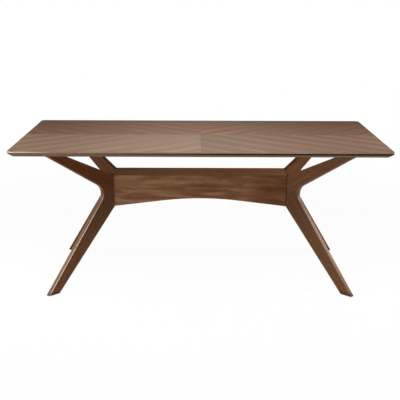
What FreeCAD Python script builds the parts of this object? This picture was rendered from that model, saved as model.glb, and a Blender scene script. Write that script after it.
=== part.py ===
import FreeCAD
import Part
import math
import os

# Dining table: a thin veneered top on four boomerang legs, which splay from the ends of an
# arched box stretcher. Millimetres, Z up. The origin is on the floor under the middle of the
# top, X runs along the table and the front is at -Y.

# Whole table
table_length = 1800.0
table_width = 900.0
table_height = 745.0

# Top: core, lipping with an under-bevel, four matched veneer leaves and a backing veneer
top_thickness = 28.0
veneer_thickness = 0.6
nose_height = 7.0
bevel_inset = 26.0
corner_radius = 20.0
lipping_seat_width = 16.0

# Stretcher: an open-bottomed box with an arched underside
stretcher_depth = 174.0
stretcher_drop = 166.0
stretcher_end_height = 165.0
panel_thickness = 18.0
arch_crown_width = 400.0
arch_crown_sag = 12.2
stretcher_arris_radius = 2.0
end_board_thickness = 18.0
end_board_lift = 8.0

# Legs: each a lower leg and an arm, jointed level at the elbow
leg_plan_angle = 44.0
leg_thickness = 25.0
end_overhang = 158.0
side_overhang = 75.8
arm_end_width = 76.0
foot_width = 64.0
foot_kick = 5.5
elbow_inset = 40.5
root_drop = 7.0
elbow_drop = 74.0
elbow_radius = 57.0
leg_arris = 2.0
tenon_thickness = 8.0
tenon_width = 40.0
tenon_length = 44.0

# Leg fixings: hanger bolts through corner blocks, with a washer and a nut inside the box
hanger_diameter = 8.0
hanger_clearance = 0.3
hanger_leg_depth = 45.0
hanger_tail = 4.0
hanger_height_shares = (0.29, 0.71)
washer_diameter = 18.0
washer_thickness = 2.0
nut_across_flats = 13.0
nut_height = 6.5
seat_margin = 3.0

# Arm fixings: a steel plate on each arm, screwed down to the arm and bolted up to the top
plate_thickness = 3.0
plate_length = 110.0
plate_edge = 4.5
plate_setback = 51.0
plate_corner_cut = 8.0
plate_bolt_diameter = 6.0
plate_bolt_length = 14.0
plate_bolt_head_diameter = 12.0
plate_bolt_head_height = 3.5
plate_bolt_key_width = 4.0
plate_bolt_key_depth = 2.0
plate_bolt_room = 5.5
insert_diameter = 10.0
insert_length = 13.0
wood_screw_diameter = 4.5
wood_screw_head_diameter = 9.0
wood_screw_head_land = 0.3
wood_screw_length = 16.0
wood_screw_place_shares = (0.85, 0.55)

# Feet: a nylon glide with a pin under each foot
glide_diameter = 20.0
glide_height = 2.0
glide_edge = 0.8
glide_pin_diameter = 3.0
glide_pin_length = 16.0

# Fits and cuts; small fasteners, glides and their bores are many-sided bars, measured across the flats
fit_clearance = 0.1
overrun = 10.0
bar_sides = 12
glide_sides = 24
hexagon_sides = 6

# Worked out from the sizes above
underside = table_height - top_thickness
nose_bottom = table_height - nose_height
lipping_width = bevel_inset + lipping_seat_width

stretcher_top = underside - stretcher_drop
stretcher_bottom = stretcher_top - stretcher_end_height
box_ceiling = stretcher_top - panel_thickness
box_half_depth = stretcher_depth / 2 - panel_thickness

plan_angle = math.radians(leg_plan_angle)
leg_reach = (table_width / 2 - side_overhang - stretcher_depth / 2) / math.sin(plan_angle)
stretcher_half_length = table_length / 2 - end_overhang - leg_reach * math.cos(plan_angle)
mitre_run = leg_thickness * math.tan(plan_angle)
arm_height = underside - plate_thickness
arm_inner_run = leg_reach - arm_end_width
foot_outer_run = leg_reach + foot_kick
foot_inner_run = foot_outer_run - foot_width
elbow_height = stretcher_top - elbow_drop
joint_height = stretcher_bottom + stretcher_end_height / 2

up = FreeCAD.Vector(0, 0, 1)
center = FreeCAD.Vector(0, 0, 0)
leg_root = FreeCAD.Vector(stretcher_half_length, -stretcher_depth / 2, 0)
leg_placement = FreeCAD.Placement(leg_root, FreeCAD.Rotation(up, -leg_plan_angle))
quadrants = [(side, end) for side in ("front", "rear") for end in ("left", "right")]


def save(name, shape):
    shape.exportStep(f"parts/{name}.step")


def line(first, last):
    return Part.LineSegment(first, last).toShape()


def prism(points, travel):
    outline = Part.makePolygon(points + points[:1])
    return Part.Face(outline).extrude(travel)


def span_box(x_span, y_span, z_span):
    size = [high - low for low, high in (x_span, y_span, z_span)]
    corner = FreeCAD.Vector(x_span[0], y_span[0], z_span[0])
    return Part.makeBox(*size, corner)


def bar(sides, across_flats, base, direction, length):
    corner_reach = across_flats / (2 * math.cos(math.pi / sides))
    circle = Part.Circle(base, direction, corner_reach)
    points = [circle.value(2 * math.pi * number / sides) for number in range(sides)]
    return prism(points, direction * length)


def chamfer_underside(shape, size):
    bottom = min(vertex.Z for vertex in shape.Vertexes)
    rim = [edge for edge in shape.Edges if abs(round(edge.CenterOfMass.z - bottom, 3)) == 0]
    return shape.makeChamfer(size, rim)


def upright(diameter, bottom, top, x, y):
    return bar(bar_sides, diameter, FreeCAD.Vector(x, y, bottom), up, top - bottom)


def in_quadrant(shape, side, end):
    # Every cornerwise piece is drawn for the front right and mirrored to the other corners.
    if end == "left":
        shape = shape.mirror(center, FreeCAD.Vector(1, 0, 0))
    if side == "rear":
        shape = shape.mirror(center, FreeCAD.Vector(0, 1, 0))
    return shape


def in_all_quadrants(shapes):
    copies = [in_quadrant(shape, side, end) for side, end in quadrants for shape in shapes]
    return Part.makeCompound(copies)


def on_leg(shape):
    # From the leg's own axes, X along its run and Y through its thickness, to the table's.
    moved = shape.copy()
    moved.Placement = leg_placement.multiply(shape.Placement)
    return moved


def edge_step(edge):
    # How far an edge goes along X, Y and Z, to a thousandth.
    step = edge.Vertexes[-1].Point - edge.Vertexes[0].Point
    return [abs(round(distance, 3)) for distance in step]


def plan_corner(right, rear, beyond, height):
    # A corner of the table in plan, moved out past both of its edges, or in where beyond is negative.
    x = right * (table_length / 2 + beyond)
    y = rear * (table_width / 2 + beyond)
    return FreeCAD.Vector(x, y, height)


# Top


def bevelled_section(half_span):
    under_half = half_span - bevel_inset
    return [
        (-under_half, underside),
        (under_half, underside),
        (half_span, nose_bottom),
        (half_span, table_height),
        (-half_span, table_height),
        (-half_span, nose_bottom),
    ]


def top_slab():
    # The bevels of the ends and of the sides cross at the corners, which are rounded upright.
    half_length = table_length / 2
    half_width = table_width / 2
    lengthwise = [FreeCAD.Vector(x, -half_width, z) for x, z in bevelled_section(half_length)]
    crosswise = [FreeCAD.Vector(-half_length, y, z) for y, z in bevelled_section(half_width)]
    bevelled_ends = prism(lengthwise, FreeCAD.Vector(0, table_width, 0))
    bevelled_sides = prism(crosswise, FreeCAD.Vector(table_length, 0, 0))
    corners = [(1, 1), (-1, 1), (-1, -1), (1, -1), (1, 1)]
    arc_centers = [plan_corner(right, rear, -corner_radius, underside) for right, rear in corners]
    rounded = Part.makePolygon(arc_centers).makeOffset2D(corner_radius)
    rounded_board = Part.Face(rounded).extrude(up * top_thickness)
    return bevelled_ends.common(bevelled_sides).common(rounded_board)


def top_layer(slab, bottom, top):
    corner = plan_corner(-1, -1, overrun, bottom)
    far_corner = plan_corner(1, 1, overrun, top)
    return slab.common(span_box(*zip(corner, far_corner)))


def veneer_leaf(sheet):
    corner = span_box((0, table_length), (-table_width, 0), (underside, table_height + overrun))
    return sheet.common(corner)


def lipping(ring, first, last):
    # One side of the ring, mitred through the table's corners at both of its ends.
    outer = [plan_corner(*corner, overrun, underside) for corner in (first, last)]
    inner = [plan_corner(*corner, -lipping_width, underside) for corner in (last, first)]
    return ring.common(prism(outer + inner, up * top_thickness))


def build_top():
    slab = top_slab()
    core_bottom = underside + veneer_thickness
    core_top = table_height - veneer_thickness
    core_corner = plan_corner(-1, -1, -lipping_width, core_bottom)
    far_core_corner = plan_corner(1, 1, -lipping_width, core_top)
    core = span_box(*zip(core_corner, far_core_corner))
    holes = in_all_quadrants(insert_holes())
    ring = top_layer(slab, core_bottom, core_top)
    front = lipping(ring, (-1, -1), (1, -1))
    right = lipping(ring, (1, -1), (1, 1))
    leaf = veneer_leaf(top_layer(slab, core_top, table_height))
    save("top_core", core.cut(holes))
    save("top_backing_veneer", top_layer(slab, underside, core_bottom).cut(holes))
    save("top_lipping_front", front)
    save("top_lipping_rear", in_quadrant(front, "rear", "right"))
    save("top_lipping_right", right)
    save("top_lipping_left", in_quadrant(right, "front", "left"))
    save("top_inserts", in_all_quadrants(inserts()))
    for side, end in quadrants:
        save(f"top_veneer_{side}_{end}", in_quadrant(leaf, side, end))


# Stretcher


def stretcher_outline():
    # Straight flanks rise from the ends and run tangent into the crown of the arch.
    crown_half = arch_crown_width / 2
    flank_angle = 2 * math.atan(arch_crown_sag / crown_half)
    flank_rise = (stretcher_half_length - crown_half) * math.tan(flank_angle)
    spring = stretcher_bottom + flank_rise
    front = -stretcher_depth / 2
    left_low = FreeCAD.Vector(-stretcher_half_length, front, stretcher_bottom)
    left_spring = FreeCAD.Vector(-crown_half, front, spring)
    crown = FreeCAD.Vector(0, front, spring + arch_crown_sag)
    right_spring = FreeCAD.Vector(crown_half, front, spring)
    right_low = FreeCAD.Vector(stretcher_half_length, front, stretcher_bottom)
    right_high = FreeCAD.Vector(stretcher_half_length, front, stretcher_top)
    left_high = FreeCAD.Vector(-stretcher_half_length, front, stretcher_top)
    edges = [
        line(left_low, left_spring),
        Part.Arc(left_spring, crown, right_spring).toShape(),
        line(right_spring, right_low),
        line(right_low, right_high),
        line(right_high, left_high),
        line(left_high, left_low),
    ]
    return Part.Wire(edges)


def stretcher_shell():
    solid = Part.Face(stretcher_outline()).extrude(FreeCAD.Vector(0, stretcher_depth, 0))
    arrises = [edge for edge in solid.Edges if edge_step(edge)[0] > 0]
    solid = solid.makeFillet(stretcher_arris_radius, arrises)
    reach = stretcher_half_length + overrun
    hollow = span_box((-reach, reach), (-box_half_depth, box_half_depth), (0, box_ceiling))
    return solid.cut(hollow)


def front_of_mitre():
    # Everything before the front panel's inner face and under its mitre with the cover.
    reach = stretcher_half_length + overrun
    outer_y = -stretcher_depth / 2 - overrun
    points = [
        FreeCAD.Vector(-reach, outer_y, 0),
        FreeCAD.Vector(-reach, -box_half_depth, 0),
        FreeCAD.Vector(-reach, -box_half_depth, box_ceiling),
        FreeCAD.Vector(-reach, outer_y, stretcher_top + overrun),
    ]
    return prism(points, FreeCAD.Vector(2 * reach, 0, 0))


def end_board():
    x_span = (stretcher_half_length - end_board_thickness, stretcher_half_length)
    board = span_box(x_span, (-box_half_depth, box_half_depth), box_span())
    holes = hanger_holes()
    rear_holes = [in_quadrant(hole, "rear", "right") for hole in holes]
    return board.cut(holes + rear_holes)


def box_span():
    return (stretcher_bottom + end_board_lift, box_ceiling)


def build_stretcher():
    shell = stretcher_shell()
    front = shell.common(front_of_mitre())
    rear = in_quadrant(front, "rear", "right")
    cover = shell.cut([front, rear])
    holes = in_all_quadrants(hanger_holes())
    right_end = end_board()
    save("stretcher_front", front.cut(holes))
    save("stretcher_rear", rear.cut(holes))
    save("stretcher_cover", cover)
    save("stretcher_end_right", right_end)
    save("stretcher_end_left", in_quadrant(right_end, "front", "left"))
    block = corner_block()
    for side, end in quadrants:
        save(f"corner_block_{side}_{end}", in_quadrant(block, side, end))


# Leg fixings, drawn along the middle of the leg's thickness


def seat_end():
    # Where a corner block's seat meets the end board, clear of the washer on the bolt's axis.
    axis_y = leg_root.y + leg_thickness / (2 * math.cos(plan_angle))
    crossing_y = axis_y + end_board_thickness * math.tan(plan_angle)
    seat_half = washer_diameter / 2 + seat_margin
    x = stretcher_half_length - end_board_thickness
    return FreeCAD.Vector(x, crossing_y + seat_half / math.cos(plan_angle), 0)


def seat_run():
    # The seat's place along the leg's own X axis.
    return leg_placement.inverse().multVec(seat_end()).x


def corner_block():
    bottom, top = box_span()
    inner = seat_end()
    width = inner.y + box_half_depth
    points = [
        FreeCAD.Vector(inner.x, -box_half_depth, bottom),
        FreeCAD.Vector(inner.x, inner.y, bottom),
        FreeCAD.Vector(inner.x - width * math.tan(plan_angle), -box_half_depth, bottom),
    ]
    return prism(points, up * (top - bottom)).cut(hanger_holes())


def along_leg(diameter, start, end, height):
    base = FreeCAD.Vector(start, leg_thickness / 2, height)
    return on_leg(bar(bar_sides, diameter, base, FreeCAD.Vector(1, 0, 0), end - start))


def hanger_heights():
    return [stretcher_bottom + share * stretcher_end_height for share in hanger_height_shares]


def hanger_tip():
    return hanger_leg_depth - mitre_run / 2


def hanger_holes():
    bore = hanger_diameter + 2 * hanger_clearance
    start = seat_run() - overrun
    return [along_leg(bore, start, 0, height) for height in hanger_heights()]


def hanger_sockets():
    bore = hanger_diameter + 2 * fit_clearance
    start = -mitre_run - overrun
    return [along_leg(bore, start, hanger_tip(), height) for height in hanger_heights()]


def hangers():
    start = seat_run() - washer_thickness - nut_height - hanger_tail
    return [along_leg(hanger_diameter, start, hanger_tip(), height) for height in hanger_heights()]


def washers():
    seat = seat_run()
    bore = hanger_diameter + 2 * hanger_clearance
    rings = []
    for height in hanger_heights():
        disc = along_leg(washer_diameter, seat - washer_thickness, seat, height)
        rings.append(disc.cut(along_leg(bore, seat - overrun, seat + overrun, height)))
    return rings


def nuts():
    seat = seat_run() - washer_thickness
    bore = hanger_diameter + 2 * fit_clearance
    pieces = []
    for height in hanger_heights():
        base = FreeCAD.Vector(seat, leg_thickness / 2, height)
        hexagon = bar(hexagon_sides, nut_across_flats, base, FreeCAD.Vector(-1, 0, 0), nut_height)
        pieces.append(on_leg(hexagon).cut(along_leg(bore, seat - overrun, seat + overrun, height)))
    return pieces


# Arm fixings, drawn in the leg's own axes


def plate_center():
    return leg_reach - plate_setback


def bolt_offset():
    return leg_thickness / 2 + plate_bolt_room + plate_bolt_head_diameter / 2


def bolt_places():
    middle = leg_thickness / 2
    return [(plate_center(), middle - bolt_offset()), (plate_center(), middle + bolt_offset())]


def screw_places():
    runs = [leg_reach - share * arm_end_width for share in wood_screw_place_shares]
    return [(run, leg_thickness / 2) for run in runs]


def wood_screw(x, y, slack):
    # A countersunk screw, flush with the plate; the slack widens it into its own hole.
    taper = (wood_screw_head_diameter - wood_screw_diameter) / 2
    head_bottom = underside - wood_screw_head_land - taper
    tip = arm_height - wood_screw_length
    head = upright(wood_screw_head_diameter + 2 * slack, head_bottom, underside, x, y)
    shank = upright(wood_screw_diameter + 2 * slack, tip, head_bottom, x, y)
    return chamfer_underside(head, taper).fuse(shank)


def wood_screws():
    return [on_leg(wood_screw(x, y, 0)) for x, y in screw_places()]


def screw_holes():
    return [on_leg(wood_screw(x, y, fit_clearance)) for x, y in screw_places()]


def plate_bolt(x, y):
    head_bottom = arm_height - plate_bolt_head_height
    shank = upright(plate_bolt_diameter, arm_height, arm_height + plate_bolt_length, x, y)
    head = upright(plate_bolt_head_diameter, head_bottom, arm_height, x, y)
    key_mouth = FreeCAD.Vector(x, y, head_bottom)
    key = bar(hexagon_sides, plate_bolt_key_width, key_mouth, up, plate_bolt_key_depth)
    return on_leg(head.fuse(shank).cut(key))


def insert_holes():
    bore = insert_diameter + 2 * fit_clearance
    bottom = underside - overrun
    top = underside + insert_length
    return [on_leg(upright(bore, bottom, top, x, y)) for x, y in bolt_places()]


def inserts():
    bore = plate_bolt_diameter + 2 * fit_clearance
    top = underside + insert_length
    pieces = []
    for x, y in bolt_places():
        sleeve = upright(insert_diameter, underside, top, x, y)
        pieces.append(on_leg(sleeve.cut(upright(bore, underside, top, x, y))))
    return pieces


def arm_plate():
    half_width = bolt_offset() + plate_bolt_head_diameter / 2 + plate_edge
    middle = leg_thickness / 2
    x_span = (plate_center() - plate_length / 2, plate_center() + plate_length / 2)
    plate = span_box(x_span, (middle - half_width, middle + half_width), (arm_height, underside))
    corners = [edge for edge in plate.Edges if edge_step(edge)[2] > 0]
    plate = plate.makeChamfer(plate_corner_cut, corners)
    bore = plate_bolt_diameter + 2 * fit_clearance
    bolt_holes = [on_leg(upright(bore, arm_height, underside, x, y)) for x, y in bolt_places()]
    return on_leg(plate).cut(bolt_holes + screw_holes())


def build_fixings():
    save("hanger_bolts", in_all_quadrants(hangers()))
    save("hanger_washers", in_all_quadrants(washers()))
    save("hanger_nuts", in_all_quadrants(nuts()))
    save("plate_wood_screws", in_all_quadrants(wood_screws()))
    save("plate_bolts", in_all_quadrants([plate_bolt(x, y) for x, y in bolt_places()]))
    plate = arm_plate()
    for side, end in quadrants:
        save(f"arm_plate_{side}_{end}", in_quadrant(plate, side, end))


# Legs


def leg_point(run, height):
    return FreeCAD.Vector(run, 0, height)


def corner_arc(before, corner, after, radius):
    # The arc of the given radius that rounds a corner, tangent to both of its sides.
    first = (before - corner).normalize()
    second = (after - corner).normalize()
    half_angle = first.getAngle(second) / 2
    setback = radius / math.tan(half_angle)
    bisector = (first + second).normalize()
    middle = corner + bisector * (radius / math.sin(half_angle) - radius)
    return Part.ArcOfCircle(corner + first * setback, middle, corner + second * setback)


def elbow_arc():
    foot_outer = leg_point(foot_outer_run, glide_height)
    elbow = leg_point(elbow_inset, elbow_height)
    arm_outer = leg_point(leg_reach, arm_height)
    return corner_arc(foot_outer, elbow, arm_outer, elbow_radius)


def waist_width():
    # From the stretcher's corner to the hollow of the elbow, at the height of the glued joint.
    arc = elbow_arc()
    drop = joint_height - arc.Center.z
    return arc.Center.x - math.sqrt(elbow_radius**2 - drop**2)


def leg_outline():
    root_low = leg_point(0, stretcher_bottom - root_drop)
    foot_inner = leg_point(foot_inner_run, glide_height)
    foot_outer = leg_point(foot_outer_run, glide_height)
    arm_outer = leg_point(leg_reach, arm_height)
    arm_inner = leg_point(arm_inner_run, arm_height)
    root_high = leg_point(0, stretcher_top)
    arc = elbow_arc()
    edges = [
        line(root_low, foot_inner),
        line(foot_inner, foot_outer),
        line(foot_outer, arc.StartPoint),
        arc.toShape(),
        line(arc.EndPoint, arm_outer),
        line(arm_outer, arm_inner),
        line(arm_inner, root_high),
        line(root_high, root_low),
    ]
    return Part.Wire(edges)


def slants(edge):
    along, across, rise = edge_step(edge)
    return along > 0 and rise > 0


def leg_blank():
    # The board with its arrises eased, then drawn out to a mitre on the stretcher's end.
    board = Part.Face(leg_outline()).extrude(FreeCAD.Vector(0, leg_thickness, 0))
    board = board.makeChamfer(leg_arris, [edge for edge in board.Edges if slants(edge)])
    root = min(board.Faces, key=lambda face: face.CenterOfMass.x)
    tongue = root.extrude(FreeCAD.Vector(-mitre_run, 0, 0))
    blank = on_leg(board.fuse(tongue).removeSplitter())
    inside = span_box((0, stretcher_half_length), (-table_width, table_width), (0, table_height))
    return blank.cut(inside)


def elbow_tenon(slack):
    # A loose tenon across the glued joint, in the middle of the waist and of the thickness.
    middle = waist_width() / 2
    half_width = tenon_width / 2 + slack
    half_thickness = tenon_thickness / 2 + slack
    half_length = tenon_length / 2 + slack
    x_span = (middle - half_width, middle + half_width)
    y_span = (leg_thickness / 2 - half_thickness, leg_thickness / 2 + half_thickness)
    return on_leg(span_box(x_span, y_span, (joint_height - half_length, joint_height + half_length)))


def foot_glide(slack):
    # A pad with a chamfered rim, and a pin driven up into the foot.
    x = (foot_inner_run + foot_outer_run) / 2
    y = leg_thickness / 2
    pad = bar(glide_sides, glide_diameter, FreeCAD.Vector(x, y, 0), up, glide_height)
    pin_top = glide_height + glide_pin_length + slack
    pin = upright(glide_pin_diameter + 2 * slack, glide_height, pin_top, x, y)
    return on_leg(chamfer_underside(pad, glide_edge).fuse(pin))


def build_legs():
    blank = leg_blank()
    reach = table_length
    lower_half = span_box((0, reach), (-reach, reach), (0, joint_height))
    upper_half = span_box((0, reach), (-reach, reach), (joint_height, table_height))
    bores = hanger_sockets() + [elbow_tenon(fit_clearance)]
    lower = blank.common(lower_half).cut(bores + [foot_glide(fit_clearance)])
    arm = blank.common(upper_half).cut(bores + screw_holes())
    glide = foot_glide(0)
    for side, end in quadrants:
        save(f"leg_{side}_{end}", in_quadrant(lower, side, end))
        save(f"arm_{side}_{end}", in_quadrant(arm, side, end))
        save(f"foot_glide_{side}_{end}", in_quadrant(glide, side, end))
    save("elbow_tenons", in_all_quadrants([elbow_tenon(0)]))


os.makedirs("parts", exist_ok=True)
build_top()
build_stretcher()
build_legs()
build_fixings()
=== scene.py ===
import math

import bmesh
import bpy
import numpy as np
from mathutils import Matrix, Vector


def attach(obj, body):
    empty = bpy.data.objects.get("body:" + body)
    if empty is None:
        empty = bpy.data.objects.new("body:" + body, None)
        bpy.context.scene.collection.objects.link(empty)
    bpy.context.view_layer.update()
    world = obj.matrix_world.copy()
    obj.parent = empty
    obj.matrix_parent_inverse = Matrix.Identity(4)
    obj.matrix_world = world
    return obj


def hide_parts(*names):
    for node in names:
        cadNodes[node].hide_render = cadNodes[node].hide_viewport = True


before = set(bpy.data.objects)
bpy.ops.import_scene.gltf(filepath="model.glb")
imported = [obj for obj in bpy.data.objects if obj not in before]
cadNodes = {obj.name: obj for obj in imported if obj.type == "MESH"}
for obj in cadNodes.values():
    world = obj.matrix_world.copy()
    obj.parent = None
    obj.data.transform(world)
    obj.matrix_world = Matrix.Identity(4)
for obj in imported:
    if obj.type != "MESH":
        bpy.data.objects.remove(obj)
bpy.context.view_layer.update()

# Walnut dining table with boomerang legs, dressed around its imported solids. Metres, Z up, front at -Y.
# Sizes in the dictionaries are in millimetres where a note doesn't say otherwise.
mm = 0.001
corners = [(side, end) for side in ("front", "rear") for end in ("left", "right")]
print("frame: %d nodes" % len(cadNodes))


def linear(hexColour):
    # the sRGB curve undone, channel by channel
    channels = np.array([int(hexColour[i:i + 2], 16) for i in (1, 3, 5)]) / 255
    light = np.where(channels <= 0.04045, channels / 12.92, ((channels + 0.055) / 1.055) ** 2.4)
    return (*light.tolist(), 1.0)


def addNode(tree, kind, settings=None, links=None):
    # settings go to a property or a socket of that name, links join other nodes' outputs to sockets
    node = tree.nodes.new("ShaderNode" + kind)
    for key, value in (settings or {}).items():
        if key == "ramp":
            elements = node.color_ramp.elements
            while len(elements) < len(value):
                elements.new(0.5)
            for element, (position, colour) in zip(elements, value):
                element.position = position
                element.color = linear(colour)
        elif isinstance(key, str) and hasattr(node, key):
            setattr(node, key, value)
        else:
            node.inputs[key].default_value = value
    for key, output in (links or {}).items():
        tree.links.new(output, node.inputs[key])
    return node


def newMaterial(name):
    material = bpy.data.materials.new(name)
    material.use_nodes = True
    material.node_tree.nodes.clear()
    return material, material.node_tree


def dress(material, *names):
    for name in names:
        for slot in cadNodes[name].material_slots:
            slot.material = material


# Wear on every arris, which on the staves is also a painted highlight: it begins and is full at these
# cosines between the eased and the true normal
arrisWearAndHighlight = {"samples": 6, "begins": 0.99, "full": 0.85}


def edgeWearAndHighlight(tree, spec, colour):
    # an arris shows where the eased normal leaves the true one, and is rubbed there, which on the staves is
    # also a painted highlight; the colour and the eased normal are handed back
    eased = addNode(tree, "Bevel", {"samples": arrisWearAndHighlight["samples"], "Radius": spec["edgeEase"] * mm})
    face = addNode(tree, "NewGeometry")
    flat = addNode(tree, "VectorMath", {"operation": "DOT_PRODUCT"},
                   {0: eased.outputs["Normal"], 1: face.outputs["True Normal"]})
    wearAndHighlightMask = addNode(tree, "MapRange", {"From Min": arrisWearAndHighlight["begins"], "From Max": arrisWearAndHighlight["full"],
                                     "To Max": spec["wearAndHighlightShare"]}, {"Value": flat.outputs["Value"]})
    wornAndHighlightedColour = addNode(tree, "Mix", {"data_type": "RGBA", 7: linear(spec["wearAndHighlightTone"])},
                     {0: wearAndHighlightMask.outputs["Result"], 6: colour})
    return wornAndHighlightedColour.outputs[2], eased.outputs["Normal"]


# Walnut: open-grained brown wood, sliced and sanded, under a thin satin lacquer that dulls the shine. It
# gives the eye long streaks of light and dark, fine fibre, short dark pores along the grain and rubbed arrises.
walnut = {
    "figureSize": (620, 30),     # along and across the grain, the broad streaks
    "figureTwist": 0.4,
    "figureDetail": 4.0,
    "figureRoughness": 0.55,
    "figureShare": 0.42,         # how much of the tone each pattern makes
    "ringSpacing": 17,           # between growth rings
    "ringDetail": 3.0,
    "ringShare": 0.10,
    "pith": (140, 90),           # from the table's middle to the heart of the tree, across the grain
    "pithTilt": (0.0, 0.0),      # radians, how far the cut leans off the grain, about the two cross axes
    "waver": 4.0,
    "waverCells": 12,            # per metre
    "waverStretch": 0.12,        # the rings' waver is drawn out along the grain
    "fibreSize": (190, 2.4),     # real fibre is finer, drawn coarser so that it shows
    "fibreDetail": 3.0,
    "fibreRoughness": 0.6,
    "fibreShare": 0.30,
    "poreSize": (15, 1.1),       # real pores are about 0.3 wide, drawn coarser so that they show
    "poreDetail": 1.0,
    "poreRoughness": 0.4,
    "poreRamp": [(0.60, "#000000"), (0.74, "#ffffff")],
    "poreShare": 0.45,
    "poreDepth": 0.12,
    "bumpStrength": 0.35,
    "tones": [(0.0, "#4a2f1c"), (0.35, "#6b482f"), (0.62, "#83593b"), (1.0, "#a27858")],
    "poreTone": "#3a2415",
    "wearAndHighlightTone": "#a98060",        # where handling has thinned the stain
    "wearAndHighlightShare": 0.30,
    "edgeEase": 1.2,             # the soft arris that sanding leaves
    "lightness": 0.0,
    "drift": 0.0,                # change of tone in a metre along the grain
    "roughness": 0.60,
    "roughSpread": (-0.06, 0.10),
    "ior": 1.5,                  # of the lacquer
    "shine": 0.10,
}
waveTurns = 20                   # Blender's wave texture multiplies its scale by this
lengthwise, crosswise, upright = (1, 0, 0), (0, 1, 0), (0, 0, 1)


def perMetre(size):
    # scale that turns metres into pattern cells of this size in mm, along and across the grain
    along, across = size
    return (1 / (along * mm), 1 / (across * mm), 1 / (across * mm))


def slippedLeaves(tree, wood, leaf):
    # the leaf number steps the pattern on, and the place within a leaf repeats
    axes = addNode(tree, "SeparateXYZ", {}, {"Vector": wood})
    counted = addNode(tree, "Math", {"operation": "DIVIDE", 1: leaf["width"] * mm}, {0: axes.outputs["Y"]})
    number = addNode(tree, "Math", {"operation": "FLOOR"}, {0: counted.outputs[0]})
    within = addNode(tree, "Math", {"operation": "FRACT"}, {0: counted.outputs[0]})
    across = addNode(tree, "Math", {"operation": "MULTIPLY", 1: leaf["width"] * mm}, {0: within.outputs[0]})
    along = addNode(tree, "Math", {"operation": "MULTIPLY_ADD", 1: leaf["slide"] * mm},
                    {0: number.outputs[0], 2: axes.outputs["X"]})
    deep = addNode(tree, "Math", {"operation": "MULTIPLY_ADD", 1: leaf["step"] * mm},
                   {0: number.outputs[0], 2: axes.outputs["Z"]})
    joined = addNode(tree, "CombineXYZ", {}, {"X": along.outputs[0], "Y": across.outputs[0],
                                              "Z": deep.outputs[0]})
    return joined.outputs["Vector"], within.outputs[0]


# Painted highlights and shade on a stave's faces, which are told apart by the Z of their normal and by s,
# the square of the cosine between their normal and the broad side's
marking = {
    "lean": 0.3,                 # Z at which a face counts fully as looking upwards or downwards
    "edge": (0.3, 0.1),          # s at which an edge begins and is full
    "level": (0.93, 0.98),       # Z at which a level face begins and is full
    "lowShare": 0.25,            # share of an edge's mark that is left at its lower height
}


def markedEdges(tree, spec, broadside, here, colour):
    # chamfers stand halfway between the broad faces and the edges, where s is a half, so 4s(1 - s) finds
    # them, and edges are where s is small; those that look upwards and those that look downwards have painted
    # highlights and painted shade of their own, and the painted light on the edges grows with the height above
    # the floor; level faces, where an arm meets the stretcher, are painted dark as in the photo, as painted
    # shade;
    # the colour and the level faces' mask are handed back
    face = addNode(tree, "NewGeometry")
    turnAway = addNode(tree, "VectorMath", {"operation": "DOT_PRODUCT", 1: broadside},
                       {0: face.outputs["True Normal"]})
    square = addNode(tree, "Math", {"operation": "MULTIPLY"},
                     {0: turnAway.outputs["Value"], 1: turnAway.outputs["Value"]})
    rest = addNode(tree, "Math", {"operation": "SUBTRACT", 0: 1.0}, {1: square.outputs[0]})
    chamfer = addNode(tree, "Math", {"operation": "MULTIPLY"}, {0: square.outputs[0], 1: rest.outputs[0]})
    facing = addNode(tree, "SeparateXYZ", {}, {"Vector": face.outputs["True Normal"]})
    upward = addNode(tree, "MapRange", {"From Max": marking["lean"]}, {"Value": facing.outputs["Z"]})
    downward = addNode(tree, "MapRange", {"From Max": -marking["lean"]}, {"Value": facing.outputs["Z"]})
    begins, full = marking["edge"]
    edge = addNode(tree, "MapRange", {"From Min": begins, "From Max": full}, {"Value": square.outputs[0]})
    begins, full = marking["level"]
    level = addNode(tree, "MapRange", {"From Min": begins, "From Max": full}, {"Value": facing.outputs["Z"]})
    low, high = spec["edgeHeights"]
    height = addNode(tree, "SeparateXYZ", {}, {"Vector": here})
    grown = addNode(tree, "MapRange", {"From Min": low * mm, "From Max": high * mm,
                                       "To Min": marking["lowShare"]}, {"Value": height.outputs["Z"]})
    risen = addNode(tree, "Math", {"operation": "MULTIPLY"},
                    {0: edge.outputs["Result"], 1: grown.outputs["Result"]})
    marks = ((chamfer, upward, 4 * spec["chamferShare"], spec["chamferTone"]),
             (chamfer, downward, 4 * spec["underShare"], spec["underTone"]),
             (risen, upward, spec["edgeShare"], spec["edgeTone"]),
             (level, upward, spec["levelShare"], spec["underTone"]))
    for mask, looking, share, tone in marks:
        weighed = addNode(tree, "Math", {"operation": "MULTIPLY", 1: share}, {0: mask.outputs[0]})
        shown = addNode(tree, "Math", {"operation": "MULTIPLY"},
                        {0: weighed.outputs[0], 1: looking.outputs["Result"]})
        colour = addNode(tree, "Mix", {"data_type": "RGBA", 7: linear(tone)},
                         {0: shown.outputs[0], 6: colour}).outputs[2]
    return colour, level.outputs["Result"]


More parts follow.
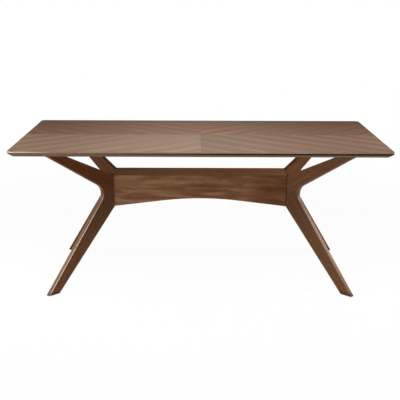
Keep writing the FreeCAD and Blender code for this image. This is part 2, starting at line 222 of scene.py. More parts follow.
def tintedLines(tree, lines, here, colour):
    # each line is a tint that is full near one place along an axis, on both sides of the middle, and then
    # fades out; its strength goes from one share to the other between two places along X
    axes = addNode(tree, "SeparateXYZ", {}, {"Vector": here})
    for line in lines:
        outward = addNode(tree, "Math", {"operation": "ABSOLUTE"}, {0: axes.outputs[line["axis"]]})
        beyond = addNode(tree, "Math", {"operation": "SUBTRACT", 1: line["place"] * mm},
                         {0: outward.outputs[0]})
        away = addNode(tree, "Math", {"operation": "ABSOLUTE"}, {0: beyond.outputs[0]})
        (startX, stopX), (startShare, stopShare) = line["span"], line["share"]
        strength = addNode(tree, "MapRange", {"From Min": startX * mm, "From Max": stopX * mm,
                                              "To Min": startShare, "To Max": stopShare},
                           {"Value": axes.outputs["X"]})
        tint = addNode(tree, "MapRange", {"From Min": line["full"] * mm, "From Max": line["fade"] * mm,
                                          "To Max": 0.0},
                       {"Value": away.outputs[0], "To Min": strength.outputs["Result"]})
        colour = addNode(tree, "Mix", {"data_type": "RGBA", 7: linear(line["tone"])},
                         {0: tint.outputs["Result"], 6: colour}).outputs[2]
    return colour


def woodMaterial(name, spec, grain, shift=(0, 0, 0), leaf=None, lines=(), broadside=None):
    # the pattern is turned so that its X runs along the grain, then moved on by a shift in metres
    material, tree = newMaterial(name)
    here = addNode(tree, "TexCoord").outputs["Object"]
    turn = Vector(grain).rotation_difference(Vector(lengthwise)).to_euler()
    laid = addNode(tree, "Mapping", {"Rotation": turn, "Location": shift}, {"Vector": here})
    wood = laid.outputs["Vector"]
    if leaf:
        wood, within = slippedLeaves(tree, wood, leaf)
    figureMap = addNode(tree, "Mapping", {"Scale": perMetre(spec["figureSize"])}, {"Vector": wood})
    figure = addNode(tree, "TexNoise", {"Scale": 1.0, "Detail": spec["figureDetail"],
                                        "Roughness": spec["figureRoughness"],
                                        "Distortion": spec["figureTwist"]},
                     {"Vector": figureMap.outputs["Vector"]})
    # growth rings are circles about the heart of the tree, and a leaning cut opens them into arches
    heartY, heartZ = spec["pith"]
    leanY, leanZ = spec["pithTilt"]
    heart = addNode(tree, "Mapping", {"Rotation": (0, leanY, leanZ),
                                      "Location": (0, heartY * mm, heartZ * mm)}, {"Vector": wood})
    drawn = addNode(tree, "Mapping", {"Scale": (spec["waverStretch"], 1, 1)},
                    {"Vector": heart.outputs["Vector"]})
    ringScale = 2 * math.pi / (waveTurns * spec["ringSpacing"] * mm)
    ring = addNode(tree, "TexWave", {"wave_type": "RINGS", "rings_direction": "X", "wave_profile": "SIN",
                                     "Scale": ringScale, "Distortion": spec["waver"],
                                     "Detail": spec["ringDetail"],
                                     "Detail Scale": spec["waverCells"] / ringScale},
                   {"Vector": drawn.outputs["Vector"]})
    fibreMap = addNode(tree, "Mapping", {"Scale": perMetre(spec["fibreSize"])}, {"Vector": wood})
    fibre = addNode(tree, "TexNoise", {"Scale": 1.0, "Detail": spec["fibreDetail"],
                                       "Roughness": spec["fibreRoughness"]},
                    {"Vector": fibreMap.outputs["Vector"]})
    poreMap = addNode(tree, "Mapping", {"Scale": perMetre(spec["poreSize"])}, {"Vector": wood})
    poreNoise = addNode(tree, "TexNoise", {"Scale": 1.0, "Detail": spec["poreDetail"],
                                           "Roughness": spec["poreRoughness"]},
                        {"Vector": poreMap.outputs["Vector"]})
    pore = addNode(tree, "ValToRGB", {"ramp": spec["poreRamp"]}, {"Fac": poreNoise.outputs["Fac"]})
    # tone = streaks + rings + fibre, each about its own middle
    middle = 0.5 + spec["lightness"] - (spec["figureShare"] + spec["ringShare"] + spec["fibreShare"]) / 2
    tone = addNode(tree, "Math", {"operation": "MULTIPLY_ADD", 1: spec["figureShare"], 2: middle},
                   {0: figure.outputs["Fac"]})
    tone = addNode(tree, "Math", {"operation": "MULTIPLY_ADD", 1: spec["ringShare"]},
                   {0: ring.outputs["Fac"], 2: tone.outputs[0]})
    tone = addNode(tree, "Math", {"operation": "MULTIPLY_ADD", 1: spec["fibreShare"]},
                   {0: fibre.outputs["Fac"], 2: tone.outputs[0]})
    run = addNode(tree, "SeparateXYZ", {}, {"Vector": wood})
    tone = addNode(tree, "Math", {"operation": "MULTIPLY_ADD", 1: spec["drift"]},
                   {0: run.outputs["X"], 2: tone.outputs[0]})
    if leaf:
        centred = addNode(tree, "Math", {"operation": "SUBTRACT", 0: 0.5}, {1: within})
        tone = addNode(tree, "Math", {"operation": "MULTIPLY_ADD", 1: leaf["fade"]},
                       {0: centred.outputs[0], 2: tone.outputs[0]})
    ground = addNode(tree, "ValToRGB", {"ramp": spec["tones"]}, {"Fac": tone.outputs[0]})
    poreShare = addNode(tree, "Math", {"operation": "MULTIPLY", 1: spec["poreShare"]},
                        {0: pore.outputs["Color"]})
    filled = addNode(tree, "Mix", {"data_type": "RGBA", 7: linear(spec["poreTone"])},
                     {0: poreShare.outputs[0], 6: ground.outputs["Color"]})
    colour, easedNormal = edgeWearAndHighlight(tree, spec, filled.outputs[2])
    smoothest, roughest = (spec["roughness"] + spread for spread in spec["roughSpread"])
    rough = addNode(tree, "MapRange", {"To Min": smoothest, "To Max": roughest},
                    {"Value": fibre.outputs["Fac"]})
    if broadside:
        # level faces are also as dull as can be
        colour, level = markedEdges(tree, spec, broadside, here, colour)
        rough = addNode(tree, "Math", {"operation": "MAXIMUM"}, {0: rough.outputs["Result"], 1: level})
    if lines:
        colour = tintedLines(tree, lines, here, colour)
    relief = addNode(tree, "Math", {"operation": "SUBTRACT"},
                     {0: fibre.outputs["Fac"], 1: pore.outputs["Color"]})
    bump = addNode(tree, "Bump", {"Strength": spec["bumpStrength"], "Distance": spec["poreDepth"] * mm},
                   {"Height": relief.outputs[0], "Normal": easedNormal})
    shader = addNode(tree, "BsdfPrincipled", {"IOR": spec["ior"], "Specular IOR Level": spec["shine"]},
                     {"Base Color": colour, "Roughness": rough.outputs[0], "Normal": bump.outputs["Normal"]})
    addNode(tree, "OutputMaterial", {}, {"Surface": shader.outputs["BSDF"]})
    return material


# Top: four matched leaves of sliced veneer, each slipped beside the last, running out to their own corner
veneer = {"angle": 39.5,         # degrees between the grain and the table's length
          "width": 107, "slide": 14, "step": 2.2, "fade": 0.20,
          "shifts": {("front", "left"): (0.3, 0.047, 0.1), ("front", "right"): (1.7, 0.058, 0.5),
                     ("rear", "left"): (0.9, -0.047, 0.9), ("rear", "right"): (2.6, -0.058, 1.3)},
          # each leaf's lightness and the greyer front tones are partly the leaves' own tone and partly painted
          # light: the rear leaves carry painted shade and the front tones a painted sheen
          "lightness": {("front", "left"): 0.07, ("front", "right"): -0.10,
                        ("rear", "left"): -0.04, ("rear", "right"): -0.05},
          "figureShare": {("front", "left"): 1.15, ("front", "right"): 0.85,
                          ("rear", "left"): 1.7, ("rear", "right"): 1.7},
          "tones": {"front": [(0.0, "#493426"), (0.35, "#684e3d"), (0.62, "#80644f"), (1.0, "#a08670")],
                    "rear": [(0.0, "#4a2e18"), (0.35, "#6b482c"), (0.62, "#835b3d"), (1.0, "#a07b5a")]}}
# painted shade: the leaves are a little darker towards the rear edge and the ends, as in the photo
wholeLength = (-900, 900)
rearShade = {"axis": "Y", "place": 450, "full": 20, "fade": 430, "span": wholeLength, "share": (0.58, 0.68),
             "tone": "#3c1c08"}
endShade = {"axis": "X", "place": 900, "full": 60, "fade": 850, "span": wholeLength, "share": (0.26, 0.26),
            "tone": "#3a2818"}
rearEndShade = {**endShade, "share": (0.42, 0.24)}
leafShades = {("front", "left"): (endShade,), ("front", "right"): (),
              ("rear", "left"): (rearEndShade, rearShade), ("rear", "right"): (rearEndShade, rearShade)}
leafWood = {**walnut, "figureSize": (620, 15), "ringShare": 0.04, "shine": 0.06}
for side, end in corners:
    lean = math.radians(veneer["angle"]) * (1 if (side == "rear") == (end == "right") else -1)
    spec = {**leafWood, "lightness": veneer["lightness"][side, end], "tones": veneer["tones"][side],
            "figureShare": veneer["figureShare"][side, end]}
    wood = woodMaterial("walnutVeneer_%s_%s" % (side, end), spec, (math.cos(lean), math.sin(lean), 0),
                        veneer["shifts"][side, end], leaf=veneer, lines=leafShades[side, end])
    dress(wood, "top_veneer_%s_%s" % (side, end))

# Lipping: solid walnut round the rim; the pale nose at the left is a painted highlight and the dark line
# under it is painted shade, both following the photo
noseLight = {"axis": "Z", "place": 743, "full": 1.5, "fade": 4.0, "span": (-880, -690), "share": (1.0, 0.12),
             "tone": "#ffeadb"}
noseShade = {"axis": "Z", "place": 734.4, "full": 3.9, "fade": 5.4, "span": (-650, 100), "share": (0.0, 1.0),
             "tone": "#0c0400"}
endLight = {**noseLight, "share": (0.3, 0.12)}
lipping = {**walnut, "wearAndHighlightShare": 0.0, "shine": 0.05, "tones": veneer["tones"]["front"]}
lippingLong = woodMaterial("walnutLipping_long", lipping, lengthwise, shift=(0.4, 0.2, 0.3),
                           lines=(noseLight, noseShade))
lippingShort = woodMaterial("walnutLipping_short", lipping, crosswise, shift=(1.4, 0.7, 0.1),
                            lines=(endLight, noseShade))
dress(lippingLong, "top_lipping_front", "top_lipping_rear")
dress(lippingShort, "top_lipping_left", "top_lipping_right")

# Stretcher: crown-cut veneer on the two panels, straight grain on the cover, darker towards the ends
stretcherEnd = 444.6
middleSpan = (-400, 400)
crown = {**walnut, "ringShare": 0.14, "ringSpacing": 26, "pithTilt": (0.0, 0.075), "waver": 7.0,
         "figureSize": (240, 42), "figureTwist": 1.5, "figureShare": 1.85, "lightness": 0.22, "drift": -0.22}
panelPith = {"front": (110, -425), "rear": (-110, -425)}
# the first line at each panel end is painted shade in the joint with the legs
panelEnds = [{"axis": "X", "place": stretcherEnd, "full": 1.5, "fade": 7.0, "span": middleSpan,
              "share": (0.6, 0.95), "tone": "#2a170c"},
             {"axis": "X", "place": stretcherEnd, "full": 20, "fade": 330, "span": (60, 130),
              "share": (0.0, 0.42), "tone": "#5c3008"}]
for side in ("front", "rear"):
    spec = {**crown, "pith": panelPith[side]}
    dress(woodMaterial("walnutPanel_" + side, spec, lengthwise, lines=panelEnds), "stretcher_" + side)
# the cover's tones are painted pale as painted light, lifting the shade that the top casts on it; they grow
# paler to the right
cover = {**walnut, "lightness": 0.16, "drift": 0.5, "shine": 0.02,
         "tones": [(0.30, "#7d5429"), (0.46, "#845a30"), (0.64, "#d8a772"), (1.0, "#dfac78")]}
coverEnds = [{"axis": "X", "place": stretcherEnd, "full": 1.0, "fade": 3.0, "span": middleSpan,
              "share": (1.0, 1.0), "tone": "#5c3a20"}]
dress(woodMaterial("walnutPanel_cover", cover, lengthwise, shift=(0.0, 3.1, 0.0), lines=coverEnds),
      "stretcher_cover")

# Legs and arms: solid staves, each with the grain along its own length; the line at the waist joint, the dark
# foot and the marks on the chamfers and edges follow the photo; the waist line is a dark glue joint, the dark
# foot is painted shade near the floor, and the marks are painted highlights and painted shade
legs = {"planAngle": 44,         # degrees between a leg and the table's length
        "root": (444.596, 87.0), "boardMiddle": 12.5,
        "leg": (0.621, -0.784), "arm": (0.847, 0.532)}   # run and rise of the grain
# the staves' pale arrises are a painted highlight as much as wear
stave = {**walnut, "figureShare": 0.48, "roughness": 0.42, "edgeEase": 4.0, "wearAndHighlightTone": "#d8b59b",
         "wearAndHighlightShare": 0.6, "poreTone": "#2e1a0c", "levelShare": 0.9, "underTone": "#2a160a"}
staveSteps = {"first": np.array([0, 0, 0.2]),   # metres by which the pattern moves on from stave to stave
              "corner": np.array([0.7, 0.31, 0]), "part": np.array([0, 0.5, 0])}
# the first line is a dark glue joint at the waist, the second is painted shade on the feet near the floor
staveLines = [{"axis": "Z", "place": 468.5, "full": 1.2, "fade": 3.0, "span": middleSpan,
               "share": (0.8, 0.8), "tone": "#4a2d1a"},
              {"axis": "Z", "place": 0, "full": 5, "fade": 24, "span": middleSpan,
               "share": (0.7, 0.7), "tone": "#2e1a0e"}]
# each stave's lightness is partly painted light and shade; the rear left arm is darkened for the shade that the
# top and the front legs cast on it
staveLightness = {("front", "left"): {"leg": -0.18, "arm": -0.16},
                  ("front", "right"): {"leg": -0.06, "arm": 0.08},
                  ("rear", "left"): {"leg": -0.16, "arm": -0.38},
                  ("rear", "right"): {"leg": -0.12, "arm": 0.14}}
# painted light and shade: the pale chamfers of the left legs and the pale edges of the right legs and arms are
# painted highlights, and the dark chamfers and level faces are painted shade
edgeMarks = {"left": {"chamferShare": 1.0, "chamferTone": "#e6cbb6", "underShare": 0.7,
                      "edgeShare": 0.0, "edgeTone": "#c4a592", "edgeHeights": (0, 1)},
             "right": {"chamferShare": 0.8, "chamferTone": "#33180b", "underShare": 0.7,
                       "edgeShare": 0.45, "edgeTone": "#c4a592", "edgeHeights": (0, 260)},
             "arm": {"chamferShare": 0.8, "chamferTone": "#4a2a18", "underShare": 0.0,
                     "edgeShare": 0.95, "edgeTone": "#a3805f", "edgeHeights": (0, 1)}}
staveTones = {"left": [(0.0, "#3e220e"), (0.35, "#5e381b"), (0.62, "#774824"), (1.0, "#986840")],
              "right": [(0.0, "#3d2312"), (0.35, "#5d3a20"), (0.62, "#754c2c"), (1.0, "#966d4a")]}
staveShine = {"front": 0.16, "rear": 0.05}
# the front left arm is redder and duller than the others in the photo; its redder tone is partly its own
# colour and partly painted light
redBoard = {"tones": [(0.0, "#43220b"), (0.35, "#653817"), (0.62, "#7e481f"), (1.0, "#a06839")],
            "shine": 0.11}


def legFrame(side, end):
    # a leg's root at the stretcher's corner, its way outwards and its way through the board, all in plan
    outX = 1 if end == "right" else -1
    outY = 1 if side == "rear" else -1
    plan = math.radians(legs["planAngle"])
    root = np.array([outX * legs["root"][0], outY * legs["root"][1], 0])
    outward = np.array([outX * math.cos(plan), outY * math.sin(plan), 0])
    through = np.array([outX * math.sin(plan), -outY * math.cos(plan), 0])
    return root, outward, through


for number, (side, end) in enumerate(corners):
    root, outward, through = legFrame(side, end)
    for order, part in enumerate(("leg", "arm")):
        run, rise = legs[part]
        grain = run * outward + np.array([0, 0, rise])
        spec = {**stave, "lightness": staveLightness[side, end][part], "shine": staveShine[side],
                "tones": staveTones[end], **edgeMarks[end if part == "leg" else part]}
        if (side, end, part) == ("front", "left", "arm"):
            spec.update(redBoard)
        shift = staveSteps["first"] + number * staveSteps["corner"] + order * staveSteps["part"]
        wood = woodMaterial("walnutStave_%s_%s_%s" % (part, side, end), spec, grain.tolist(), shift.tolist(),
                            lines=staveLines, broadside=through.tolist())
        dress(wood, "%s_%s_%s" % (part, side, end))
print("walnut done")

# Backing veneer: plain sliced wood under a thin sealer, dull and even, on the underside of the top
backing = {**walnut, "lightness": -0.05, "roughness": 0.72, "shine": 0.06, "wearAndHighlightShare": 0.0}
dress(woodMaterial("walnutBacking", backing, lengthwise, shift=(0.0, 5.3, 0.0)), "top_backing_veneer")

# Rubberwood: pale, close-grained, planed and left bare, so it is dry and straw-coloured, with short dark flecks
rubberwood = {**walnut, "figureSize": (400, 24), "figureShare": 0.35, "ringShare": 0.12, "fibreShare": 0.35,
              "poreSize": (6, 0.9), "poreShare": 0.35, "roughness": 0.78, "shine": 0.06,
              "tones": [(0.0, "#a37a4c"), (0.35, "#bc9664"), (0.62, "#caa777"), (1.0, "#dcc09a")],
              "poreTone": "#86643c", "wearAndHighlightTone": "#e2caa8"}
dress(woodMaterial("rubberwood", rubberwood, upright, shift=(0.3, 0.2, 0.0)), "elbow_tenons",
      *["corner_block_%s_%s" % corner for corner in corners])
# the two end boards show between the legs, so they are stained as dark as the walnut
endBoards = {**rubberwood, "tones": staveTones["right"], "poreTone": stave["poreTone"],
             "wearAndHighlightTone": walnut["wearAndHighlightTone"], "roughness": 0.55, "shine": 0.10}
dress(woodMaterial("rubberwood_stained", endBoards, crosswise, shift=(0.9, 0.4, 0.2)),
      "stretcher_end_left", "stretcher_end_right")
print("bare wood done")

# Coats and metals: two tones in soft patches, a fine grain in the surface and edges rubbed to another tone
coat = {"patchDetail": 3.0, "patchRoughness": 0.55, "grainDetail": 2.0, "grainRoughness": 0.5,
        "toneSpread": (0.7, 1.3),    # sum of grain and patch at the first and the second tone
        "patchSpread": (0.3, 0.7),   # patch at the first and the second roughness
        "metallic": 0.0}


def coatMaterial(name, spec):
    material, tree = newMaterial(name)
    here = addNode(tree, "TexCoord").outputs["Object"]
    patch = addNode(tree, "TexNoise", {"Scale": 1 / (spec["patchSize"] * mm), "Detail": spec["patchDetail"],
                                       "Roughness": spec["patchRoughness"]}, {"Vector": here})
    grain = addNode(tree, "TexNoise", {"Scale": 1 / (spec["grainSize"] * mm), "Detail": spec["grainDetail"],
                                       "Roughness": spec["grainRoughness"]}, {"Vector": here})
    middle = 0.5 - spec["grainShare"] / 2
    tone = addNode(tree, "Math", {"operation": "MULTIPLY_ADD", 1: spec["grainShare"], 2: middle},
                   {0: grain.outputs["Fac"]})
    mixed = addNode(tree, "Math", {"operation": "ADD"}, {0: tone.outputs[0], 1: patch.outputs["Fac"]})
    low, high = spec["toneSpread"]
    spread = addNode(tree, "MapRange", {"From Min": low, "From Max": high}, {"Value": mixed.outputs[0]})
    first, second = (linear(colour) for colour in spec["tones"])
    ground = addNode(tree, "Mix", {"data_type": "RGBA", 6: first, 7: second}, {0: spread.outputs["Result"]})
    colour, easedNormal = edgeWearAndHighlight(tree, spec, ground.outputs[2])
    low, high = spec["patchSpread"]
    smoothest, roughest = spec["roughness"]
    rough = addNode(tree, "MapRange", {"From Min": low, "From Max": high, "To Min": smoothest,
                                       "To Max": roughest}, {"Value": patch.outputs["Fac"]})
    bump = addNode(tree, "Bump", {"Strength": spec["bumpStrength"], "Distance": spec["grainDepth"] * mm},
                   {"Height": grain.outputs["Fac"], "Normal": easedNormal})
    shader = addNode(tree, "BsdfPrincipled", {"Metallic": spec["metallic"]},
                     {"Base Color": colour, "Roughness": rough.outputs["Result"],
                      "Normal": bump.outputs["Normal"]})
    addNode(tree, "OutputMaterial", {}, {"Surface": shader.outputs["BSDF"]})
    return material


# Zinc-plated steel: barrel plated, so a soft blue-grey shine in cloudy patches with brighter rubbed edges
zinc = {**coat, "patchSize": 6, "grainSize": 0.5, "grainShare": 0.3, "tones": ("#8d9095", "#c2c4c6"),
        "metallic": 1.0, "roughness": (0.28, 0.42), "grainDepth": 0.02, "bumpStrength": 0.2, "edgeEase": 0.3,
        "wearAndHighlightTone": "#dcdcdc", "wearAndHighlightShare": 0.5}
# Brass: turned bar stock, a warm dull gold that has begun to darken in patches
brass = {**coat, "patchSize": 5, "grainSize": 0.4, "grainShare": 0.4, "tones": ("#94733a", "#c7a25a"),
         "metallic": 1.0, "roughness": (0.30, 0.45), "grainDepth": 0.02, "bumpStrength": 0.2, "edgeEase": 0.3,
         "wearAndHighlightTone": "#dcc084", "wearAndHighlightShare": 0.5}
# Powder-coated steel: baked black paint with a fine orange peel, a little worn to grey at the edges
powderCoat = {**coat, "patchSize": 30, "grainSize": 1.4, "grainShare": 0.25, "tones": ("#131313", "#232322"),
              "roughness": (0.42, 0.55), "grainDepth": 0.06, "bumpStrength": 0.5, "edgeEase": 0.6,
              "wearAndHighlightTone": "#5a5a58", "wearAndHighlightShare": 0.35}
# Nylon: moulded dark brown, half dull, scuffed paler round the rim
nylon = {**coat, "patchSize": 8, "grainSize": 0.7, "grainShare": 0.35, "tones": ("#241a14", "#3a2b22"),
         "roughness": (0.45, 0.60), "grainDepth": 0.03, "bumpStrength": 0.35, "edgeEase": 0.7,
         "wearAndHighlightTone": "#6d5a4c", "wearAndHighlightShare": 0.4}
# Fibreboard: pressed wood fibre, sanded, evenly pale brown with fine dark specks
fibreboard = {**coat, "patchSize": 40, "grainSize": 0.9, "grainShare": 0.8, "tones": ("#8a6a46", "#b0916a"),
              "roughness": (0.80, 0.92), "grainDepth": 0.05, "bumpStrength": 0.4, "edgeEase": 0.4,
              "wearAndHighlightTone": "#bfa37e", "wearAndHighlightShare": 0.2}
zincSteel = coatMaterial("zincPlatedSteel", zinc)
mouldedNylon = coatMaterial("mouldedNylon", nylon)
dress(zincSteel, "plate_wood_screws")
dress(coatMaterial("turnedBrass", brass), "top_inserts")
dress(coatMaterial("powderCoatedSteel", powderCoat), *["arm_plate_%s_%s" % corner for corner in corners])
dress(coatMaterial("fibreboard", fibreboard), "top_core")
print("coats and metals done")

# Turned pieces: rings of points about an axis, joined into closed skins
ringMesh = {"mergeDistance": 0.001, "sharpAngle": 35}
noFlats = 1000.0                 # across flats so wide that a ring stays round


def rows(*points):
    # each row is a radius, a height and a width across flats
    return np.array([point if len(point) == 3 else (*point, noFlats) for point in points], float)


def turned(profile, sides, thread=None):
    # radius and height come from the profile; a ring with flats is cut down to a hexagon, whose radius is
    # half the width across flats over the cosine of the angle from the nearest flat's middle; a thread is a
    # V-shaped groove that climbs one pitch in each turn, so its phase is height over pitch less the angle in
    # turns
    angle = np.linspace(0, 2 * np.pi, sides, endpoint=False)
    radius, height, flats = (np.repeat(profile[:, [column]], sides, axis=1) for column in range(3))
    fromFlat = (angle + np.pi / 6) % (np.pi / 3) - np.pi / 6
    radius = np.minimum(radius, flats / 2 / np.cos(fromFlat))
    if thread:
        pitch = thread["pitch"]
        climb = height / pitch - angle / (2 * np.pi)
        groove = 1 - np.abs(2 * (climb % 1) - 1)
        fade = np.clip((thread["end"] - height) / pitch, 0, 1) * np.clip(height / pitch, 0, 1)
        radius = radius - np.where(radius > thread["core"], thread["depth"] * groove * fade, 0)
    return np.stack([radius * np.cos(angle), radius * np.sin(angle), height], axis=-1)


def stood(rings, foot, along):
    # rings about Z are stood on a foot point along any axis, on three right-handed axes
    along = np.array(along, float)
    across = np.array([1.0, 0, 0]) if along[2] else np.array([0, 0, 1.0])
    third = np.cross(along, across)
    return foot + rings @ np.stack([across, third, along])


def ringPiece(name, copies, material, slot, *nodes):
    # quads join every point to the next on its ring and to the next ring, then the poles and seams are merged
    rings, sides = copies[0].shape[:2]
    row, column = np.meshgrid(np.arange(rings - 1), np.arange(sides), indexing="ij")
    after = (column + 1) % sides
    quads = np.stack([row * sides + column, row * sides + after, (row + 1) * sides + after,
                      (row + 1) * sides + column], axis=-1).reshape(-1, 4)
    faces = (quads + (np.arange(len(copies)) * rings * sides)[:, None, None]).reshape(-1, 4)
    mesh = bpy.data.meshes.new(name)
    mesh.from_pydata((np.concatenate(copies).reshape(-1, 3) * mm).tolist(), [], faces.tolist())
    merged = bmesh.new()
    merged.from_mesh(mesh)
    bmesh.ops.remove_doubles(merged, verts=merged.verts, dist=ringMesh["mergeDistance"] * mm)
    bmesh.ops.recalc_face_normals(merged, faces=merged.faces)
    merged.to_mesh(mesh)
    merged.free()
    mesh.shade_smooth()
    mesh.set_sharp_from_angle(angle=math.radians(ringMesh["sharpAngle"]))
    mesh.materials.append(material)
    piece = bpy.data.objects.new(name, mesh)
    bpy.context.scene.collection.objects.link(piece)
    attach(piece, "root")
    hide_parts(*nodes)


# Hanger bolts, washers and nuts: each pair draws a leg's mitre tight against the stretcher
hanger = {"heights": (433.85, 503.15), "seat": -48.68, "tip": 32.93, "tail": 4.0, "radius": 4.0,
          "leadRadius": 3.0, "lead": 1.0, "runOut": 1.0, "point": 4.0, "pointRadius": 1.6, "pointEase": 0.4,
          "thread": {"pitch": 1.25, "depth": 0.7, "core": 3.5, "end": 18.0}, "threadSteps": 8, "sides": 24}
washer = {"radius": 9.0, "bore": 4.3, "thickness": 2.0, "ease": 0.4, "sides": 48,
          "bulge": 0.3}          # share of the ease that is cut off halfway round a corner
nut = {"flats": 13.0, "height": 6.5, "bore": 4.05, "boreEase": 0.6, "chamfer": 0.9, "chamferSteps": 7,
       "faceInset": 0.2, "sides": 72}

nutBottom = hanger["seat"] - washer["thickness"]
boltStart = nutBottom - nut["height"] - hanger["tail"]
boltLength = hanger["tip"] - boltStart
thread = hanger["thread"]
shankRadius = hanger["radius"] - thread["depth"] / 2
threadHeights = np.arange(hanger["lead"], thread["end"], thread["pitch"] / hanger["threadSteps"])
boltRows = rows((0, 0), (hanger["leadRadius"], 0), *[(hanger["radius"], height) for height in threadHeights],
                (hanger["radius"], thread["end"]), (shankRadius, thread["end"] + hanger["runOut"]),
                (shankRadius, boltLength - hanger["point"]),
                (hanger["pointRadius"], boltLength - hanger["pointEase"]), (0, boltLength))
boltRings = turned(boltRows, hanger["sides"], thread)

# the washer's outer corners are rounded in two steps, and those of its bore are cut in one
brim, bore, ease, thick = washer["radius"], washer["bore"], washer["ease"], washer["thickness"]
bulge = washer["bulge"] * ease
washerRows = rows((bore, ease), (bore + ease, 0), (brim - ease, 0), (brim - bulge, bulge), (brim, ease),
                  (brim, thick - ease), (brim - bulge, thick - bulge), (brim - ease, thick),
                  (bore + ease, thick), (bore, thick - ease), (bore, ease))
washerRings = turned(washerRows, washer["sides"])

# the nut's chamfers are cones that cut the hexagon's corners back to curves
flats, nutHeight, nutBore, boreEase = nut["flats"], nut["height"], nut["bore"], nut["boreEase"]
cornerRadius = flats / 2 / math.cos(math.pi / 6)
faceRadius = flats / 2 - nut["faceInset"]
cone = [(faceRadius + (cornerRadius - faceRadius) * step, nut["chamfer"] * step)
        for step in np.linspace(0, 1, nut["chamferSteps"])]
nutRows = rows((nutBore, boreEase), (nutBore + boreEase, 0),
               *[(radius, height, flats) for radius, height in cone],
               *[(radius, nutHeight - height, flats) for radius, height in reversed(cone)],
               (nutBore + boreEase, nutHeight), (nutBore, nutHeight - boreEase), (nutBore, boreEase))
nutRings = turned(nutRows, nut["sides"])

bolts, washers, nuts = [], [], []
for side, end in corners:
    root, outward, through = legFrame(side, end)
    for height in hanger["heights"]:
        axis = root + through * legs["boardMiddle"] + np.array([0, 0, height])
        bolts.append(stood(boltRings, axis + outward * boltStart, outward))
        washers.append(stood(washerRings, axis + outward * nutBottom, outward))
        nuts.append(stood(nutRings, axis + outward * nutBottom, -outward))
ringPiece("hangerBolts", bolts, zincSteel, "zinc_steel", "hanger_bolts")
ringPiece("hangerWashers", washers, zincSteel, "zinc_steel", "hanger_washers")
ringPiece("hangerNuts", nuts, zincSteel, "zinc_steel", "hanger_nuts")

# Plate bolts: button heads with a hexagon socket, under the arm plates; the dome is a quarter of an ellipse
plateBolt = {"run": 362.44, "spread": 24.0, "headBottom": 710.5, "headHeight": 3.5, "headRadius": 6.0,
             "crown": 3.2, "domeHeight": 2.8, "domeSteps": 8, "rimEase": 0.1, "socket": 4.0,
             "socketDepth": 2.0, "socketReach": 4.0, "socketDish": 0.01, "socketLead": 0.25,
             "socketMouth": 2.55, "shankRadius": 3.0, "length": 17.5, "tipEase": 0.6, "sides": 48}
dome = [(plateBolt["crown"] + (plateBolt["headRadius"] - plateBolt["crown"]) * math.sin(turn),
         plateBolt["domeHeight"] * (1 - math.cos(turn)))
        for turn in np.linspace(0, math.pi / 2, plateBolt["domeSteps"])]
shank, headHeight, headRadius = plateBolt["shankRadius"], plateBolt["headHeight"], plateBolt["headRadius"]
length, rimEase, tipEase = plateBolt["length"], plateBolt["rimEase"], plateBolt["tipEase"]
socket, socketReach, socketDepth = plateBolt["socket"], plateBolt["socketReach"], plateBolt["socketDepth"]
plateRows = rows((0, socketDepth - plateBolt["socketDish"]), (socketReach, socketDepth, socket),
                 (socketReach, plateBolt["socketLead"], socket), (plateBolt["socketMouth"], 0), *dome,
                 (headRadius, headHeight - rimEase), (headRadius - rimEase, headHeight), (shank, headHeight),
                 (shank, length - tipEase), (shank - tipEase, length), (0, length))
plateRings = turned(plateRows, plateBolt["sides"])
plateBolts = []
for side, end in corners:
    root, outward, through = legFrame(side, end)
    for offset in (-plateBolt["spread"], plateBolt["spread"]):
        foot = root + outward * plateBolt["run"] + through * (legs["boardMiddle"] + offset)
        plateBolts.append(stood(plateRings, foot + np.array([0, 0, plateBolt["headBottom"]]), upright))
ringPiece("plateBolts", plateBolts, zincSteel, "zinc_steel", "plate_bolts")

# Foot glides: a round pad with a rolled rim, a quarter of an ellipse, flat where it stands, on a pin
glide = {"run": 386.94, "radius": 10.0, "flat": 9.2, "height": 2.0, "rimHeight": 0.8, "rimSteps": 6,
         "topEase": 0.4, "topBulge": 0.12, "pinRadius": 1.5, "pinTop": 18.0, "point": 1.0, "pointRadius": 0.6,
         "sides": 48}
padRadius, padHeight, pinTop = glide["radius"], glide["height"], glide["pinTop"]
rolledRim = [(glide["flat"] + (padRadius - glide["flat"]) * math.sin(turn),
              glide["rimHeight"] * (1 - math.cos(turn)))
             for turn in np.linspace(0, math.pi / 2, glide["rimSteps"])]
glideRows = rows((0, 0), *rolledRim, (padRadius, padHeight - glide["topEase"]),
                 (padRadius - glide["topBulge"], padHeight - glide["topBulge"]),
                 (padRadius - glide["topEase"], padHeight), (glide["pinRadius"], padHeight),
                 (glide["pinRadius"], pinTop - glide["point"]), (glide["pointRadius"], pinTop), (0, pinTop))
glideRings = turned(glideRows, glide["sides"])
for side, end in corners:
    root, outward, through = legFrame(side, end)
    foot = root + outward * glide["run"] + through * legs["boardMiddle"]
    ringPiece("footGlide_%s_%s" % (side, end), [stood(glideRings, foot, upright)], mouldedNylon,
              "nylon_glide", "foot_glide_%s_%s" % (side, end))
print("fasteners and glides done")

# Camera: a long lens in front of the table, a little above its top; metres, radians, and mm for the lens
camera = {"place": (-0.0196, -4.0901, 1.4911), "pitch": 0.2615, "heading": -0.0044, "roll": 0.0042,
          "lens": 72.27, "sensor": 36}
lens = bpy.data.cameras.new("camera")
lens.sensor_width = camera["sensor"]
lens.lens = camera["lens"]
viewer = bpy.data.objects.new("camera", lens)
viewer.matrix_world = (Matrix.Translation(camera["place"]) @ Matrix.Rotation(camera["heading"], 4, "Z")
                       @ Matrix.Rotation(math.pi / 2 - camera["pitch"], 4, "X")
                       @ Matrix.Rotation(camera["roll"], 4, "Z"))
bpy.context.scene.collection.objects.link(viewer)
bpy.context.scene.camera = viewer

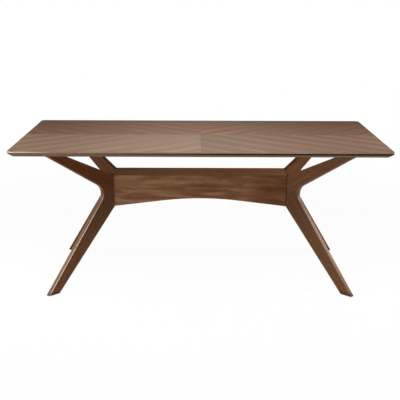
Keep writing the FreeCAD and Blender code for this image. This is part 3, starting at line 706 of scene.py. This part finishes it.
# Studio: soft boxes over a white floor, which keeps the shadow; metres and watts
studio = {
    "floorSize": 40.0,
    "paper": "#ececec",
    "white": "#ffffff",
    "shadowShare": 0.05,
    "shadowReach": (1.4, 3.4),   # from the middle, over which the shadow fades into the white
    "ambient": 0.20,
    "boxes": {
        "overhead": {"place": (0.0, -1.0, 1.8), "aim": (0, -0.45, 0.7), "size": (1.0, 0.6), "power": 21},
        "left": {"place": (-1.78, -0.22, 0.92), "aim": (-0.6, -0.3, 0.25), "size": (0.7, 0.8), "power": 20},
        "right": {"place": (1.8, -0.35, 1.2), "aim": (0.6, -0.3, 0.25), "size": (0.7, 0.8), "power": 17},
        "front": {"place": (-1.2, -4.3, 1.5), "aim": (0, 0, 0.45), "size": (2.4, 1.2), "power": 25},
        "rear": {"place": (0, 1.7, 1.6), "aim": (0, 0, 0.74), "size": (1.2, 0.6), "power": 8.5},
    },
}


def seenDirectly(tree):
    # 1 for what the eye, a mirror or a glass shows of a surface, 0 for the light that it gives
    sight = addNode(tree, "LightPath")
    mirrored = addNode(tree, "Math", {"operation": "MAXIMUM"},
                       {0: sight.outputs["Is Glossy Ray"], 1: sight.outputs["Is Transmission Ray"]})
    return addNode(tree, "Math", {"operation": "MAXIMUM"},
                   {0: sight.outputs["Is Camera Ray"], 1: mirrored.outputs[0]}).outputs[0]


floorCorners = np.array([(-1, -1, 0), (1, -1, 0), (1, 1, 0), (-1, 1, 0)]) * studio["floorSize"] / 2
floorMesh = bpy.data.meshes.new("floor")
floorMesh.from_pydata(floorCorners.tolist(), [], [(0, 1, 2, 3)])
floor = bpy.data.objects.new("floor", floorMesh)
bpy.context.scene.collection.objects.link(floor)
paper, tree = newMaterial("whitePaper")
middle = addNode(tree, "TexCoord")
reach = addNode(tree, "VectorMath", {"operation": "LENGTH"}, {0: middle.outputs["Object"]})
near, far = studio["shadowReach"]
veil = addNode(tree, "MapRange", {"interpolation_type": "SMOOTHSTEP", "From Min": near, "From Max": far,
                                  "To Min": 1 - studio["shadowShare"], "To Max": 1.0},
               {"Value": reach.outputs["Value"]})
covered = addNode(tree, "Math", {"operation": "MULTIPLY"}, {0: veil.outputs["Result"], 1: seenDirectly(tree)})
shaded = addNode(tree, "BsdfDiffuse", {"Color": linear(studio["paper"])})
white = addNode(tree, "Emission", {"Color": linear(studio["white"]), "Strength": 1.0})
surface = addNode(tree, "MixShader", {}, {0: covered.outputs[0], 1: shaded.outputs[0], 2: white.outputs[0]})
addNode(tree, "OutputMaterial", {}, {"Surface": surface.outputs[0]})
floorMesh.materials.append(paper)

world = bpy.data.worlds.new("studio")
bpy.context.scene.world = world
world.use_nodes = True
tree = world.node_tree
tree.nodes.clear()
strength = addNode(tree, "MapRange", {"To Min": studio["ambient"], "To Max": 1.0},
                   {"Value": seenDirectly(tree)})
sky = addNode(tree, "Background", {"Color": linear(studio["white"])},
              {"Strength": strength.outputs["Result"]})
addNode(tree, "OutputWorld", {}, {"Surface": sky.outputs[0]})

for name, box in studio["boxes"].items():
    lamp = bpy.data.lights.new("softBox_" + name, "AREA")
    lamp.shape = "RECTANGLE"
    lamp.size, lamp.size_y = box["size"]
    lamp.energy = box["power"]
    holder = bpy.data.objects.new("softBox_" + name, lamp)
    holder.location = box["place"]
    holder.rotation_euler = (Vector(box["aim"]) - Vector(box["place"])).to_track_quat("-Z", "Y").to_euler()
    holder.visible_camera = False
    bpy.context.scene.collection.objects.link(holder)
bpy.context.scene.view_settings.view_transform = "Standard"
print("studio done")
